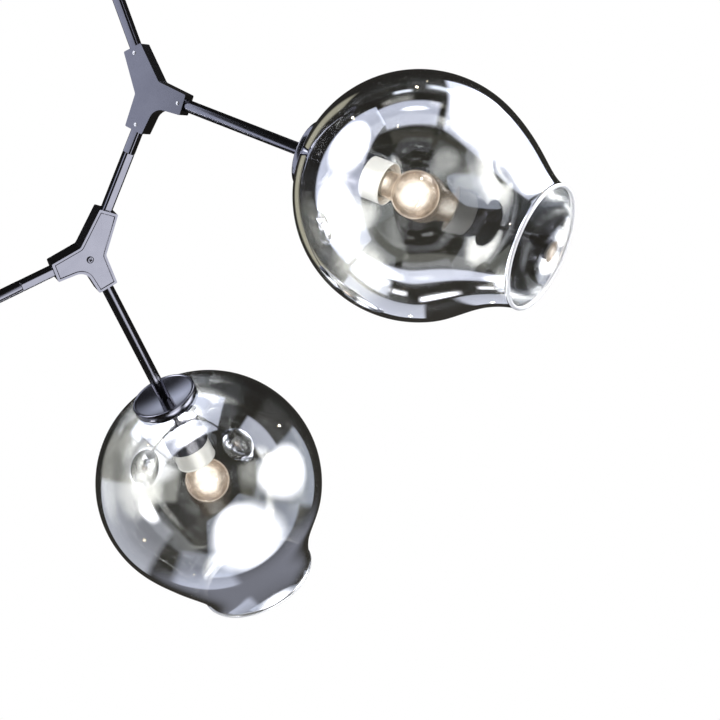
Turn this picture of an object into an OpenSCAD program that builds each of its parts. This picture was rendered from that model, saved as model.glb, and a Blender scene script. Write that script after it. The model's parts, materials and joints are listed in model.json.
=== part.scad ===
// Branching ceiling light. A square stem hangs from a round canopy and carries
// two flat three-way hubs and three blown-glass globes on round arms.
// Frame: origin on the ceiling at the stem's axis, +Z up. The broad faces of the
// upper hub look along -Y and +Y. All sizes are millimetres.

/* [Layout] */
// Drop from the ceiling to the centre of the upper hub
hub_drop = 400; // [320:10:900]
// Distance between the centres of the two hubs
hub_pitch = 168.5; // [155:0.5:260]
// Distance from a hub's centre to the centre of its glass globe
globe_reach = 297.5; // [285:0.5:380]
// Angle between a hub's lower arms and its own axis, in degrees
arm_spread = 47.7; // [45:0.1:52]
// Turn of the lower hub about the connecting arm, in degrees
lower_turn = 55; // [0:1:90]

/* [Hubs] */
// Length of a hub's upper arm, from its centre
hub_up = 46; // [44:0.5:56]
// Length of a hub's two lower arms, from its centre
hub_arm = 39.5; // [38:0.5:48]
// Width of each hub arm at its end
hub_w = 20; // [18:0.5:22]
// Depth of a hub, front to back
hub_t = 16; // [16:0.5:22]
// Width of the raised rim around a hub's cover
rim_w = 2.3; // [2:0.1:2.8]

/* [Tubes] */
// Side of the square structural tube
square_w = 10; // [9:0.5:11]
// Wall of the square tube
square_wall = 1; // [0.8:0.1:1.2]
// Outside diameter of the round globe arms
round_d = 12; // [11:0.5:12.5]
// Gap between the two halves of a turning arm
swivel_gap = 0.4; // [0.3:0.1:0.8]
// Visible length of the connecting arm's upper half
upper_half = 23.3; // [18:0.1:35]
// Visible length of the left arm's square root
root_len = 34; // [26:1:60]

/* [Glass globes] */
// Outside radius of the round part of the glass
globe_r = 115; // [105:1:125]
// Wall of the glass
glass_t = 2.2; // [1.8:0.1:2.8]
// Outside radius of the glass at its mouth
mouth_r = 59; // [56:1:68]
// Distance from the globe's centre to the lip
mouth_z = 131; // [125:1:140]

/* [Lamp holder and bulb] */
// Distance from the globe's centre to the open rim of the lamp holder
holder_z = 32; // [30:1:40]
// Outside diameter of the lamp holder's sleeve
holder_d = 40; // [39:0.5:42]
// Diameter of the round bulb
bulb_d = 45; // [40:1:48]

/* [Canopy] */
// Outside diameter of the canopy
canopy_d = 120; // [115:1:160]
// Height of the canopy
canopy_h = 26; // [26:1:40]
// Distance between the two ceiling screw holes
screw_pitch = 70; // [60:1:74]

/* [Hidden] */

black = [0.07, 0.07, 0.085];
steel = [0.72, 0.72, 0.74];
copper_red = [0.55, 0.12, 0.08];
white = [0.92, 0.92, 0.9];
smoke = [0.35, 0.35, 0.33, 0.45];
warm = [1.0, 0.86, 0.66, 0.6];
brass = [0.78, 0.66, 0.38];
rubber = [0.05, 0.05, 0.05];

sq = square_w;
sq_in = sq - 2*square_wall;
joint_s = hub_arm + upper_half;            // joint plane of the connecting arm, from the upper hub
root_s = hub_arm + root_len;               // end of the left arm's root, from the lower hub
socket_in = 26.5;                          // where the tubes end inside a hub
cavity_r = 28;                             // radius of a hub's wiring space
seat = 1;                                  // depth of the recess that holds a cover
front_wall = 2.2;
hole_r = 29;                               // radius of the hole in the back of the glass
cup_r = 33.2;
cz = -globe_r + 0.5;                       // lowest point of the cup's dish, from the globe's centre
nip_r = 3;
bulb_z = -4;                               // centre of the bulb's ball, from the globe's centre
cap_z = -holder_z - 1;                     // where the bulb's metal cap meets its glass
function dish(r) = cz - 2.7*pow(r/31, 2);
function ball(r, R) = -sqrt(R*R - r*r);
arm_end = globe_reach + dish(round_d/2) - 0.04;   // where an arm tube ends on the dish

// ---------- where things are ----------
module at_hub_1() translate([0, 0, -hub_drop]) children();
module at_hub_2() at_hub_1() rotate([0, arm_spread, 0])
    translate([0, 0, -hub_pitch]) rotate([0, 0, lower_turn]) children();
// Turns +Z to point out along a hub's lower arm: side 1 or -1
module along(side) rotate([0, side*(180 - arm_spread), 0]) children();
module at_arm(i) {
    if (i == 1) at_hub_1() along(1) children();
    if (i == 2) at_hub_2() along(1) children();
    if (i == 3) at_hub_2() along(-1) children();
}
module at_globe(i) at_arm(i) translate([0, 0, globe_reach]) children();

// ---------- helpers ----------
function unit(v) = v/norm(v);
function left(v) = [-v[1], v[0]];
function inset(P, d) = [for (i = [0:len(P) - 1])
    let (a = P[(i + len(P) - 1) % len(P)], b = P[i], c = P[(i + 1) % len(P)],
         n1 = left(unit(b - a)), n2 = left(unit(c - b)))
    b + d*(n1 + n2)/(1 + n1*n2)];
// Arc of radius r that rounds corner b between a and c
function fillet(a, b, c, r, n) =
    let (d1 = unit(b - a), d2 = unit(c - b), s = d1[0]*d2[1] - d1[1]*d2[0] >= 0 ? 1 : -1,
         t = acos(d1*d2), p = b - d1*r*tan(t/2), o = p + s*r*left(d1), w = p - o)
    [for (k = [0:n]) let (q = s*t*k/n) o + [w[0]*cos(q) - w[1]*sin(q), w[0]*sin(q) + w[1]*cos(q)]];
function bezier(a, b, c, d, t) = a*pow(1 - t, 3) + 3*b*t*pow(1 - t, 2) + 3*c*t*t*(1 - t) + d*t*t*t;
function bezier_dir(a, b, c, d, t) = unit((b - a)*pow(1 - t, 2) + 2*(c - b)*t*(1 - t) + (d - c)*t*t);
module spin(P, n = 96) rotate_extrude($fn = n) polygon(P);
// Extrudes an outline drawn in X and Z from depth y0 to depth y1
module plate(P, y0, y1) translate([0, y1, 0]) rotate([90, 0, 0]) linear_extrude(y1 - y0) polygon(P);
module square_bar(w, z0, z1) translate([-w/2, -w/2, z0]) cube([w, w, z1 - z0]);
module rod(r, z0, z1, n = 48) translate([0, 0, z0]) cylinder(r = r, h = z1 - z0, $fn = n);
module pin_y(r, y0, y1, n = 32) translate([0, y1, 0]) rotate([90, 0, 0]) cylinder(r = r, h = y1 - y0, $fn = n);

// ---------- hub ----------
hw = hub_w/2;
ax = [sin(arm_spread), -cos(arm_spread)];
an = [cos(arm_spread), sin(arm_spread)];
hi = ax*hub_arm + an*hw;
lo = ax*hub_arm - an*hw;
root_x = hw + 4;
root_z = 4.3;
notch_z = -16.5;
hub_corners = [[hw, hub_up], [-hw, hub_up], [-root_x, root_z], [-hi[0], hi[1]], [-lo[0], lo[1]],
    [0, notch_z], lo, hi, [root_x, root_z]];
hub_radii = [1.2, 1.2, -4, 1.2, 1.2, -13, 1.2, 1.2, -4];
function hub_outline(d) = let (C = inset(hub_corners, d), n = len(C))
    [for (i = [0:n - 1]) each fillet(C[(i + n - 1) % n], C[i], C[(i + 1) % n],
        hub_radii[i] > 0 ? max(0.5, hub_radii[i] - d) : -hub_radii[i] + d,
        hub_radii[i] > 0 ? 3 : (hub_radii[i] < -8 ? 10 : 5))];
screw_at = 5.7;      // set screws, from each arm's end
cover_screw_z = -4.4;
// A hub lies in the XZ plane, its set screws in the -Y face and its cover in the +Y face
module hub_body() color(black) difference() {
    union() {
        difference() {
            plate(hub_outline(0), -hub_t/2, hub_t/2);
            plate(hub_outline(rim_w), hub_t/2 - seat, hub_t/2 + 1);
            intersection() {
                plate(hub_outline(rim_w + 1.2), -hub_t/2 + front_wall, hub_t/2);
                pin_y(cavity_r, -hub_t, hub_t, 96);
            }
        }
        translate([0, 0, cover_screw_z]) pin_y(3.4, -hub_t/2 + 1, hub_t/2 - seat);
    }
    translate([0, 0, cover_screw_z]) pin_y(1.5, -hub_t/2 + front_wall, hub_t);
    square_bar(sq + 0.04, 20, hub_up + 1);
    along(-1) square_bar(sq + 0.04, 20, hub_arm + 1);
    along(1) rod(round_d/2 + 0.05, 20, hub_arm + 1, 64);
    translate([0, 0, hub_up - screw_at]) pin_y(2, -hub_t, -sq/2 + 0.5);
    for (s = [-1, 1]) along(s) translate([0, 0, hub_arm - screw_at]) pin_y(2, -hub_t, -sq/2 + 0.5);
}
module hub_cover() color(black) difference() {
    plate(hub_outline(rim_w + 0.45), hub_t/2 - seat + 0.02, hub_t/2 - 0.2);
    translate([0, 0, cover_screw_z]) pin_y(1.7, 0, hub_t);
}
module hub_cover_screw() color(steel) translate([0, hub_t/2 - 0.2, cover_screw_z]) difference() {
    union() {
        pin_y(1.48, -10, 0.05);
        rotate([-90, 0, 0]) spin([[0, 0.02], [3.5, 0.02], [3.5, 0.5], [3.1, 1], [2.2, 1.35], [0, 1.45]], 48);
    }
    for (a = [0, 90]) rotate([0, a, 0]) translate([-1.8, 0.6, -0.35]) cube([3.6, 2, 0.7]);
}
// Headless screw with a hexagon socket. Its tip is at depth y = tip
module grub(tip) rotate([90, 0, 0]) difference() {
    translate([0, 0, -tip]) cylinder(r = 1.97, h = hub_t/2 - 0.1 + tip, $fn = 32);
    translate([0, 0, hub_t/2 - 1.1]) cylinder(r = 1, h = 2, $fn = 6);
}
module hub_set_screws() color(steel) {
    translate([0, 0, hub_up - screw_at]) grub(-sq/2 - 0.03);
    along(-1) translate([0, 0, hub_arm - screw_at]) grub(-sq/2 - 0.03);
    along(1) translate([0, 0, hub_arm - screw_at]) grub(-round_d/2 - 0.06);
}

// ---------- ceiling fixing and stem ----------
stud_x = 48;
bush_top = -14;
flange = 3;
collar_top = -canopy_h - flange - 0.4;
module ceiling_bracket() color(steel) difference() {
    union() {
        translate([-53, -11, -1.5]) cube([106, 22, 1.5]);
        translate([-12, 0, -1.5]) cube([24, 46, 1.5]);
    }
    for (s = [-1, 1]) {
        translate([s*screw_pitch/2, 0, -3]) cylinder(r = 2.5, h = 6, $fn = 32);
        translate([s*stud_x, 0, -3]) cylinder(r = 2, h = 6, $fn = 32);
    }
    translate([0, 17, -3]) cylinder(r = 4, h = 6, $fn = 32);
}
module bracket_studs() color(steel) for (s = [-1, 1]) translate([s*stud_x, 0, 0]) {
    rod(1.98, -canopy_h - 4, -0.05, 32);
    rod(3.4, -4.6, -1.55, 6);
}
module canopy() color(black) difference() {
    spin([[canopy_d/2, 0], [canopy_d/2, -canopy_h + 5], [canopy_d/2 - 0.7, -canopy_h + 2.4],
        [canopy_d/2 - 2.4, -canopy_h + 0.7], [canopy_d/2 - 5, -canopy_h], [8.1, -canopy_h],
        [8.1, -canopy_h + 1.5], [canopy_d/2 - 5, -canopy_h + 1.5], [canopy_d/2 - 3.1, -canopy_h + 2],
        [canopy_d/2 - 1.9, -canopy_h + 3.2], [canopy_d/2 - 1.5, -canopy_h + 5], [canopy_d/2 - 1.5, 0]], 128);
    for (s = [-1, 1]) translate([s*stud_x, 0, -canopy_h - 2]) cylinder(r = 2.2, h = 6, $fn = 32);
}
module canopy_cap_nuts() color(black) for (s = [-1, 1]) translate([s*stud_x, 0, -canopy_h - 0.03])
    difference() {
        union() {
            rod(4, -4.2, 0, 6);
            spin([[0, -7.6], [1.3, -7.35], [2.4, -6.6], [3.2, -5.5], [3.4, -4.1], [0, -4.1]], 32);
        }
        rod(2, -5.2, 1, 32);
    }
module canopy_bush() color(black) spin([[5.03, bush_top], [8, bush_top], [8, -canopy_h - 0.03],
    [13, -canopy_h - 0.03], [13, -canopy_h - flange + 0.8], [12.2, -canopy_h - flange], [5.03, -canopy_h - flange]], 64);
module bush_lock_nut() color(steel) difference() {
    rod(12.7, -canopy_h + 1.55, -canopy_h + 7, 6);
    rod(8.02, -canopy_h, 0, 64);
}
module terminal_block() color(white) difference() {
    translate([-15, 26, -14.5]) cube([30, 17, 12.9]);
    for (k = [-1, 0, 1]) {
        translate([k*9, 38.5, -18]) cylinder(r = 1.9, h = 8, $fn = 24);
        translate([k*9, 30.5, -18]) cylinder(r = 1.9, h = 8, $fn = 24);
        translate([k*9, 25, -8]) rotate([-90, 0, 0]) cylinder(r = 1.5, h = 6, $fn = 24);
    }
}
module stem_pivot() color(steel) difference() {
    union() {
        rod(5, collar_top - 3, bush_top + 0.1, 64);
        rod(7.5, bush_top + 0.05, bush_top + 3.5, 6);
        square_bar(sq_in - 0.04, collar_top - 16, collar_top - 3);
    }
    rod(3, collar_top - 20, 0, 32);
}
module stem_tube() color(black) difference() {
    union() {
        square_bar(sq, -hub_drop + socket_in, collar_top - 2);
        spin([[0, collar_top], [8.4, collar_top], [9, collar_top - 0.6], [9, collar_top - 3.6], [0, collar_top - 3.6]], 64);
    }
    square_bar(sq_in, -hub_drop, collar_top - 2.96);
    rod(5.02, collar_top - 3, collar_top + 1, 64);
}
module wire_pair(z0, z1, gap, r) for (s = [-1, 1]) translate([s*gap, 0, 0]) rod(r, z0, z1, 24);
module splices() for (s = [-1, 1]) translate([s*3, 0, 0]) rod(2.4, 7, 20, 32);
module stem_wires() color(copper_red) {
    wire_pair(-hub_drop + 19, -6, 1.2, 1);
    at_hub_1() splices();
}

// ---------- connecting arm, with its turning joint ----------
module mid_arm_upper() color(black) at_hub_1() along(-1) difference() {
    square_bar(sq, socket_in, joint_s - swivel_gap/2);
    square_bar(sq_in, 0, joint_s + 1);
}
module mid_arm_pivot() color(steel) at_hub_1() along(-1) difference() {
    union() {
        square_bar(sq_in - 0.04, joint_s - 14, joint_s - swivel_gap/2);
        rod(3, joint_s - 1, joint_s + 13.4);
        rod(3.7, joint_s + 12.6, joint_s + 14.2);
    }
    rod(2.2, joint_s - 20, joint_s + 20, 32);
}
module mid_arm_wires() color(copper_red) {
    at_hub_1() along(-1) wire_pair(12, hub_pitch - 19, 0.95, 0.9);
    at_hub_2() rotate([0, 0, -lower_turn]) splices();
}
module mid_arm_lower() color(black) at_hub_1() rotate([0, arm_spread, 0]) translate([0, 0, -hub_pitch])
    rotate([0, 0, lower_turn]) difference() {
        square_bar(sq, hub_up - (hub_arm - socket_in), hub_pitch - joint_s - swivel_gap/2);
        square_bar(sq_in, 0, hub_pitch);
    }
module mid_arm_bush() color(brass) at_hub_2() difference() {
    square_bar(sq_in - 0.04, hub_pitch - joint_s - 12.3, hub_pitch - joint_s - swivel_gap/2);
    rod(3.05, 0, hub_pitch);
}
module left_arm_root() color(black) at_hub_2() along(-1) difference() {
    square_bar(sq, socket_in, root_s - swivel_gap/2);
    square_bar(sq_in, 0, root_s + 1);
}

// ---------- one globe arm: i is 1, 2 or 3 ----------
module arm_tube(i) color(black) at_arm(i) difference() {
    union() {
        rod(round_d/2, i == 3 ? root_s + swivel_gap/2 : socket_in, arm_end, 64);
        if (i == 3) rod(sq_in/2 - 0.05, root_s - 22, root_s + 2, 64);
    }
    rod(i == 3 ? sq_in/2 - 1.1 : round_d/2 - 1, 0, i == 3 ? root_s + 6 : arm_end - 11.5);
    if (i == 3) rod(round_d/2 - 1, root_s + 4, arm_end - 11.5);
    rod(nip_r + 0.03, 0, arm_end + 1);
}
module arm_wires(i) color(copper_red) at_arm(i)
    wire_pair(12, globe_reach - holder_z - 38.2, 0.95, 0.9);
glass_gap = 0.06;
wall_end = ball(31.9, globe_r) - 0.1;
module cup(i) color(black) at_globe(i) spin(concat(
    [for (r = [nip_r + 0.05, 6, 9, 12, 15, 18, 21, 24, 27, 29, 30.2]) [r, dish(r)]],
    [[31, dish(30.2) - 0.25], [31.9, dish(30.2) - 0.2], [32.6, dish(30.2) + 0.15], [33.05, dish(30.2) + 0.8],
     [cup_r, dish(30.2) + 1.6], [cup_r, wall_end - 0.4], [cup_r - 0.3, wall_end], [31.9, wall_end],
     [31.9, dish(30.2) + 2.2], [31.5, dish(30.2) + 1.5], [30.7, dish(30.2) + 1.25]],
    [for (r = [29, 27, 24, 21, 18, 15, 12, 9, 6, nip_r + 0.05]) [r, dish(r) + 1.2]]));
module gasket(i) color(rubber) at_globe(i) spin([
    [hole_r + 0.3, dish(hole_r) + 1.3], [30.5, dish(30.2) + 1.32], [31.3, dish(30.2) + 1.65],
    [31.7, dish(30.2) + 2.3], [31.7, ball(31.7, globe_r) - glass_gap],
    [30.5, ball(30.5, globe_r) - glass_gap], [hole_r + 0.3, ball(hole_r + 0.3, globe_r) - glass_gap]]);
// Glass section: round back, then a drawn-in neck and a thick rounded lip
neck_a = 33;
nk0 = globe_r*[cos(neck_a), sin(neck_a)];
nk1 = nk0 + 30*[-sin(neck_a), cos(neck_a)];
nk3 = [mouth_r + 0.3, mouth_z - 1.5];
nk2 = nk3 + [2.6, -18.5];
back_a = -acos(hole_r/globe_r);
back_in = -acos(hole_r/(globe_r - glass_t));
function nk(t) = bezier(nk0, nk1, nk2, nk3, t);
function nk_in(t) = nk(t) + glass_t*left(bezier_dir(nk0, nk1, nk2, nk3, t));
lip_c = [mouth_r + 0.3 - glass_t/2, mouth_z];
shade_section = concat(
    [for (k = [0:22]) let (a = back_a + (neck_a - back_a)*k/22) globe_r*[cos(a), sin(a)]],
    [for (k = [1:10]) nk(k/10)],
    [for (a = [-30:30:210]) lip_c + 2*[cos(a), sin(a)]],
    [for (k = [10:-1:1]) nk_in(k/10)],
    [for (k = [22:-1:0]) let (a = back_in + (neck_a - back_in)*k/22) (globe_r - glass_t)*[cos(a), sin(a)]]);
module shade(i) color(smoke) at_globe(i) spin(shade_section, 128);
// Drawn inside the glass: a rim that rests on it, a flat web and a tapered boss
module clamp_disc(i) color(black) at_globe(i) let (g = globe_r - glass_t, t = ball(hole_r, g)) spin([
    [nip_r + 0.03, t - 1.2], [hole_r - 0.6, t - 1.2], [hole_r - 0.6, t + 0.2], [hole_r + 0.4, ball(hole_r + 0.4, g) + glass_gap],
    [31, ball(31, g) + glass_gap], [32.5, ball(32.5, g) + glass_gap], [32.5, t + 3.3], [32.1, t + 4.1], [31.2, t + 4.5],
    [28, t + 4.4], [25.4, t + 2.4], [23, t + 1.6], [6.4, t + 1.6], [5.5, t + 2.6], [5.1, t + 5],
    [4.4, t + 11], [4, t + 16], [nip_r + 0.03, t + 16]]);
hz = -holder_z;
module nipple(i) color(steel) at_globe(i) spin([[2, cz - 11], [nip_r, cz - 11], [nip_r, hz - 38.4], [2, hz - 38.4]], 48);
hr = holder_d/2;
module holder_cap(i) color(black) at_globe(i) spin([[nip_r + 0.03, hz - 55], [3.9, hz - 55], [4.1, hz - 49],
    [4.8, hz - 46.6], [6.8, hz - 44.9], [10, hz - 43.7], [15, hz - 42.2], [18.4, hz - 41.1], [19.8, hz - 40.3],
    [hr + 0.5, hz - 39.3], [hr + 0.7, hz - 38], [hr + 0.7, hz - 21.2], [hr + 0.4, hz - 20.8], [hr + 0.03, hz - 20.8],
    [hr + 0.03, hz - 38.7], [18.2, hz - 39.9], [10, hz - 42.4], [6.2, hz - 43.7], [nip_r + 0.03, hz - 46]]);
module holder_sleeve(i) color(white) at_globe(i) spin([[hr - 1, hz - 38.4], [hr, hz - 38.4], [hr, hz - 2.2],
    [hr - 0.3, hz - 1.9], [hr - 0.3, hz - 1.5], [hr + 0.2, hz - 1.2], [hr + 0.3, hz - 0.7], [hr + 0.1, hz - 0.2],
    [hr - 0.3, hz], [hr - 0.7, hz], [hr - 1, hz - 0.3]]);
module holder_core(i) color(white) at_globe(i) spin([[3.2, hz - 37.6], [hr - 1.2, hz - 37.6], [hr - 1.2, hz - 6],
    [hr - 2.4, hz - 4.6], [13.7, hz - 4.6], [13.7, hz - 27.6], [4.9, hz - 27.6], [4.9, hz - 31], [3.2, hz - 31]]);
module bulb_cap(i) color(brass) at_globe(i) spin(concat([[0, hz - 27.2], [4.6, hz - 27.2], [4.9, hz - 26.4],
    [5.6, hz - 25.6], [10.6, hz - 23.4]],
    [for (k = [0:4]) each [[12.3, hz - 22.4 + k*3.6], [13.2, hz - 20.6 + k*3.6]]],
    [[12.4, hz - 4.4], [12.4, cap_z - 0.04], [0, cap_z - 0.04]]));
br = bulb_d/2;
bulb_section = concat(
    [for (a = [90:-10:-50]) [br*cos(a), bulb_z + br*sin(a)]],
    [[13.1, cap_z + 7.2], [12.3, cap_z + 3], [12.2, cap_z], [11.4, cap_z], [11.5, cap_z + 3], [12.3, cap_z + 7.4]],
    [for (a = [-50:10:90]) [(br - 0.8)*cos(a), bulb_z + (br - 0.8)*sin(a)]]);
module bulb_glass(i) color(warm) at_globe(i) spin(bulb_section, 64);

// ---------- sub-parts ----------
module hub_1_body() at_hub_1() hub_body();
module hub_1_cover() at_hub_1() hub_cover();
module hub_1_cover_screw() at_hub_1() hub_cover_screw();
module hub_1_set_screws() at_hub_1() hub_set_screws();
// The lower hub shows its cover to the front, so it is turned half round about its own axis.
// That swaps its two lower arms, so its outline is mirrored back.
module lower_hub_side() at_hub_2() mirror([0, 1, 0]) children();
module hub_2_body() lower_hub_side() hub_body();
module hub_2_cover() lower_hub_side() hub_cover();
module hub_2_cover_screw() lower_hub_side() hub_cover_screw();
module hub_2_set_screws() lower_hub_side() hub_set_screws();
module arm_1_tube() arm_tube(1);
module arm_1_wires() arm_wires(1);
module cup_1() cup(1);
module gasket_1() gasket(1);
module shade_1() shade(1);
module clamp_disc_1() clamp_disc(1);
module nipple_1() nipple(1);
module holder_cap_1() holder_cap(1);
module holder_sleeve_1() holder_sleeve(1);
module holder_core_1() holder_core(1);
module bulb_cap_1() bulb_cap(1);
module bulb_glass_1() bulb_glass(1);
module arm_2_tube() arm_tube(2);
module arm_2_wires() arm_wires(2);
module cup_2() cup(2);
module gasket_2() gasket(2);
module shade_2() shade(2);
module clamp_disc_2() clamp_disc(2);
module nipple_2() nipple(2);
module holder_cap_2() holder_cap(2);
module holder_sleeve_2() holder_sleeve(2);
module holder_core_2() holder_core(2);
module bulb_cap_2() bulb_cap(2);
module bulb_glass_2() bulb_glass(2);
module arm_3_tube() arm_tube(3);
module arm_3_wires() arm_wires(3);
module cup_3() cup(3);
module gasket_3() gasket(3);
module shade_3() shade(3);
module clamp_disc_3() clamp_disc(3);
module nipple_3() nipple(3);
module holder_cap_3() holder_cap(3);
module holder_sleeve_3() holder_sleeve(3);
module holder_core_3() holder_core(3);
module bulb_cap_3() bulb_cap(3);
module bulb_glass_3() bulb_glass(3);

ceiling_bracket();
bracket_studs();
canopy();
canopy_cap_nuts();
canopy_bush();
bush_lock_nut();
terminal_block();
stem_pivot();
stem_tube();
stem_wires();
hub_1_body();
hub_1_cover();
hub_1_cover_screw();
hub_1_set_screws();
mid_arm_upper();
mid_arm_pivot();
mid_arm_wires();
mid_arm_lower();
mid_arm_bush();
hub_2_body();
hub_2_cover();
hub_2_cover_screw();
hub_2_set_screws();
left_arm_root();
arm_1_tube();
arm_1_wires();
cup_1();
gasket_1();
shade_1();
clamp_disc_1();
nipple_1();
holder_cap_1();
holder_sleeve_1();
holder_core_1();
bulb_cap_1();
bulb_glass_1();
arm_2_tube();
arm_2_wires();
cup_2();
gasket_2();
shade_2();
clamp_disc_2();
nipple_2();
holder_cap_2();
holder_sleeve_2();
holder_core_2();
bulb_cap_2();
bulb_glass_2();
arm_3_tube();
arm_3_wires();
cup_3();
gasket_3();
shade_3();
clamp_disc_3();
nipple_3();
holder_cap_3();
holder_sleeve_3();
holder_core_3();
bulb_cap_3();
bulb_glass_3();
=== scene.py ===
import json
import math

import bmesh
import bpy
import numpy as np
from mathutils import Matrix, Vector

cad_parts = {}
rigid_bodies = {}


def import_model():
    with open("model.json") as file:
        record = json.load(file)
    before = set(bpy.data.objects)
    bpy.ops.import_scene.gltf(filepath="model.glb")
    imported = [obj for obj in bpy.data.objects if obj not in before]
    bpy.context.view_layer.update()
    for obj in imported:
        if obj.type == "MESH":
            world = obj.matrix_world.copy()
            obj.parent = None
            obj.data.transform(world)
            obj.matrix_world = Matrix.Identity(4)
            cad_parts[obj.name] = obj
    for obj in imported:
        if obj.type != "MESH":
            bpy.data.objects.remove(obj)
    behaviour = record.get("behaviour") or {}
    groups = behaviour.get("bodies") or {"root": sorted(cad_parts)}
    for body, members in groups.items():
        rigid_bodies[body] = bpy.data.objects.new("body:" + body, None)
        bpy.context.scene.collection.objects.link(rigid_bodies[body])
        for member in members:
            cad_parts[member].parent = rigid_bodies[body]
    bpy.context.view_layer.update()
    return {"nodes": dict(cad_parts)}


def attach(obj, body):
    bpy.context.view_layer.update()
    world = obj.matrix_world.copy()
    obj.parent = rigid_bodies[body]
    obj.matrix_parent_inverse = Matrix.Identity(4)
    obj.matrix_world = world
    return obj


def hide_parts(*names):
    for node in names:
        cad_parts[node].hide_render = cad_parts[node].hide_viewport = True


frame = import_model()

MM = 0.001

# ---------------------------------------------------------------- camera
# Fitted to the lamp's joints and outlines: 25.7 degrees round from the front, 7.6 degrees below, rolled 20.4 degrees
CAM_R = Vector((0.82515687, 0.44753042, -0.34472113))
CAM_U = Vector((0.36714055, 0.038921, 0.92935084))
CAM_B = Vector((0.42932966, -0.89342133, -0.13219063))
cam_data = bpy.data.cameras.new("camera")
cam_data.lens = 147.478
cam_data.sensor_width = 36
cam_data.clip_start = 0.05
cam_data.clip_end = 100
cam = bpy.data.objects.new("camera", cam_data)
bpy.context.scene.collection.objects.link(cam)
cam.matrix_world = Matrix((
    (CAM_R.x, CAM_U.x, CAM_B.x, 1.2720),
    (CAM_R.y, CAM_U.y, CAM_B.y, -2.4247),
    (CAM_R.z, CAM_U.z, CAM_B.z, -1.0746),
    (0, 0, 0, 1),
))
bpy.context.scene.camera = cam


def from_view(right, up, back):
    """A direction given in the photograph's own axes, in the row frame."""
    return (CAM_R * right + CAM_U * up + CAM_B * back).normalized()


# ---------------------------------------------------------------- the part's own frames, as in part.scad
SPREAD, TURN = math.radians(47.7), math.radians(55)


def up_z(mm):
    return Matrix.Translation((0, 0, mm * MM))


def about(axis, angle):
    return Matrix.Rotation(angle, 4, axis)


HUB = {1: up_z(-400)}
HUB[2] = HUB[1] @ about("Y", SPREAD) @ up_z(-168.5) @ about("Z", TURN)


def along(side):
    return about("Y", side * (math.pi - SPREAD))


ARM = {1: HUB[1] @ along(1), 2: HUB[2] @ along(1), 3: HUB[2] @ along(-1)}
GLOBE = {i: ARM[i] @ up_z(297.5) for i in ARM}
BODY = {1: "globe_arm_1", 2: "globe_arm_2", 3: "globe_arm_3"}
CZ = -114.5


def dish(r):
    return CZ - 2.7 * (r / 31) ** 2


def ball(r, R):
    return -math.sqrt(R * R - r * r)


# ---------------------------------------------------------------- mesh helpers
def arc(a, b, c, r, n):
    """The points that round the corner b, between a and c, to radius r."""
    a, b, c = (np.array(p, float) for p in (a, b, c))
    u, v = a - b, c - b
    lu, lv = np.linalg.norm(u), np.linalg.norm(v)
    u, v = u / lu, v / lv
    turn = math.acos(max(-1.0, min(1.0, float(u @ v))))
    if r <= 0 or turn > math.pi - 0.03:
        return [tuple(b)]
    t = min(r / math.tan(turn / 2), 0.49 * lu, 0.49 * lv)
    r = t * math.tan(turn / 2)
    mid = (u + v) / np.linalg.norm(u + v)
    centre = b + mid * (r / math.sin(turn / 2))
    s, e = b + u * t - centre, b + v * t - centre
    a0 = math.atan2(s[1], s[0])
    d = (math.atan2(e[1], e[0]) - a0 + math.pi) % (2 * math.pi) - math.pi
    return [tuple(centre + r * np.array((math.cos(a0 + d * k / n), math.sin(a0 + d * k / n)))) for k in range(n + 1)]


def rounded(points, n=4):
    """A closed outline from (x, y, radius) corners."""
    out = []
    for i, p in enumerate(points):
        a, c = points[i - 1], points[(i + 1) % len(points)]
        out += arc(a[:2], p[:2], c[:2], p[2] if len(p) > 2 else 0, n)
    return out


def new_object(name, bm, mats, sharp=35):
    bmesh.ops.remove_doubles(bm, verts=bm.verts, dist=1e-7)
    bmesh.ops.recalc_face_normals(bm, faces=bm.faces)
    me = bpy.data.meshes.new(name)
    bm.to_mesh(me)
    bm.free()
    for m in mats:
        me.materials.append(m)
    me.polygons.foreach_set("use_smooth", [True] * len(me.polygons))
    me.set_sharp_from_angle(angle=math.radians(sharp))
    o = bpy.data.objects.new(name, me)
    bpy.context.scene.collection.objects.link(o)
    return o


def add_lathe(bm, prof, M, n=128, material=None, warp=None):
    """Turns a closed (r, z) outline in mm about the z axis of M. material(r, z) gives a face's material slot."""
    rings = []
    for r, z in prof:
        count = 1 if abs(r) < 1e-6 else n
        ring = []
        for k in range(count):
            a = 2 * math.pi * k / n
            p = Vector((r * math.cos(a), r * math.sin(a), z))
            if warp:
                p = warp(p)
            ring.append(bm.verts.new(M @ (p * MM)))
        rings.append(ring)
    m = len(rings)
    for i in range(m):
        A, B = rings[i], rings[(i + 1) % m]
        if len(A) == 1 and len(B) == 1:
            continue
        for k in range(n):
            k2 = (k + 1) % n
            if len(A) == 1:
                f = bm.faces.new((A[0], B[k], B[k2]))
            elif len(B) == 1:
                f = bm.faces.new((A[k], B[0], A[k2]))
            else:
                f = bm.faces.new((A[k], B[k], B[k2], A[k2]))
            if material:
                (r0, z0), (r1, z1) = prof[i], prof[(i + 1) % m]
                f.material_index = material((r0 + r1) / 2, (z0 + z1) / 2)


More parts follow.
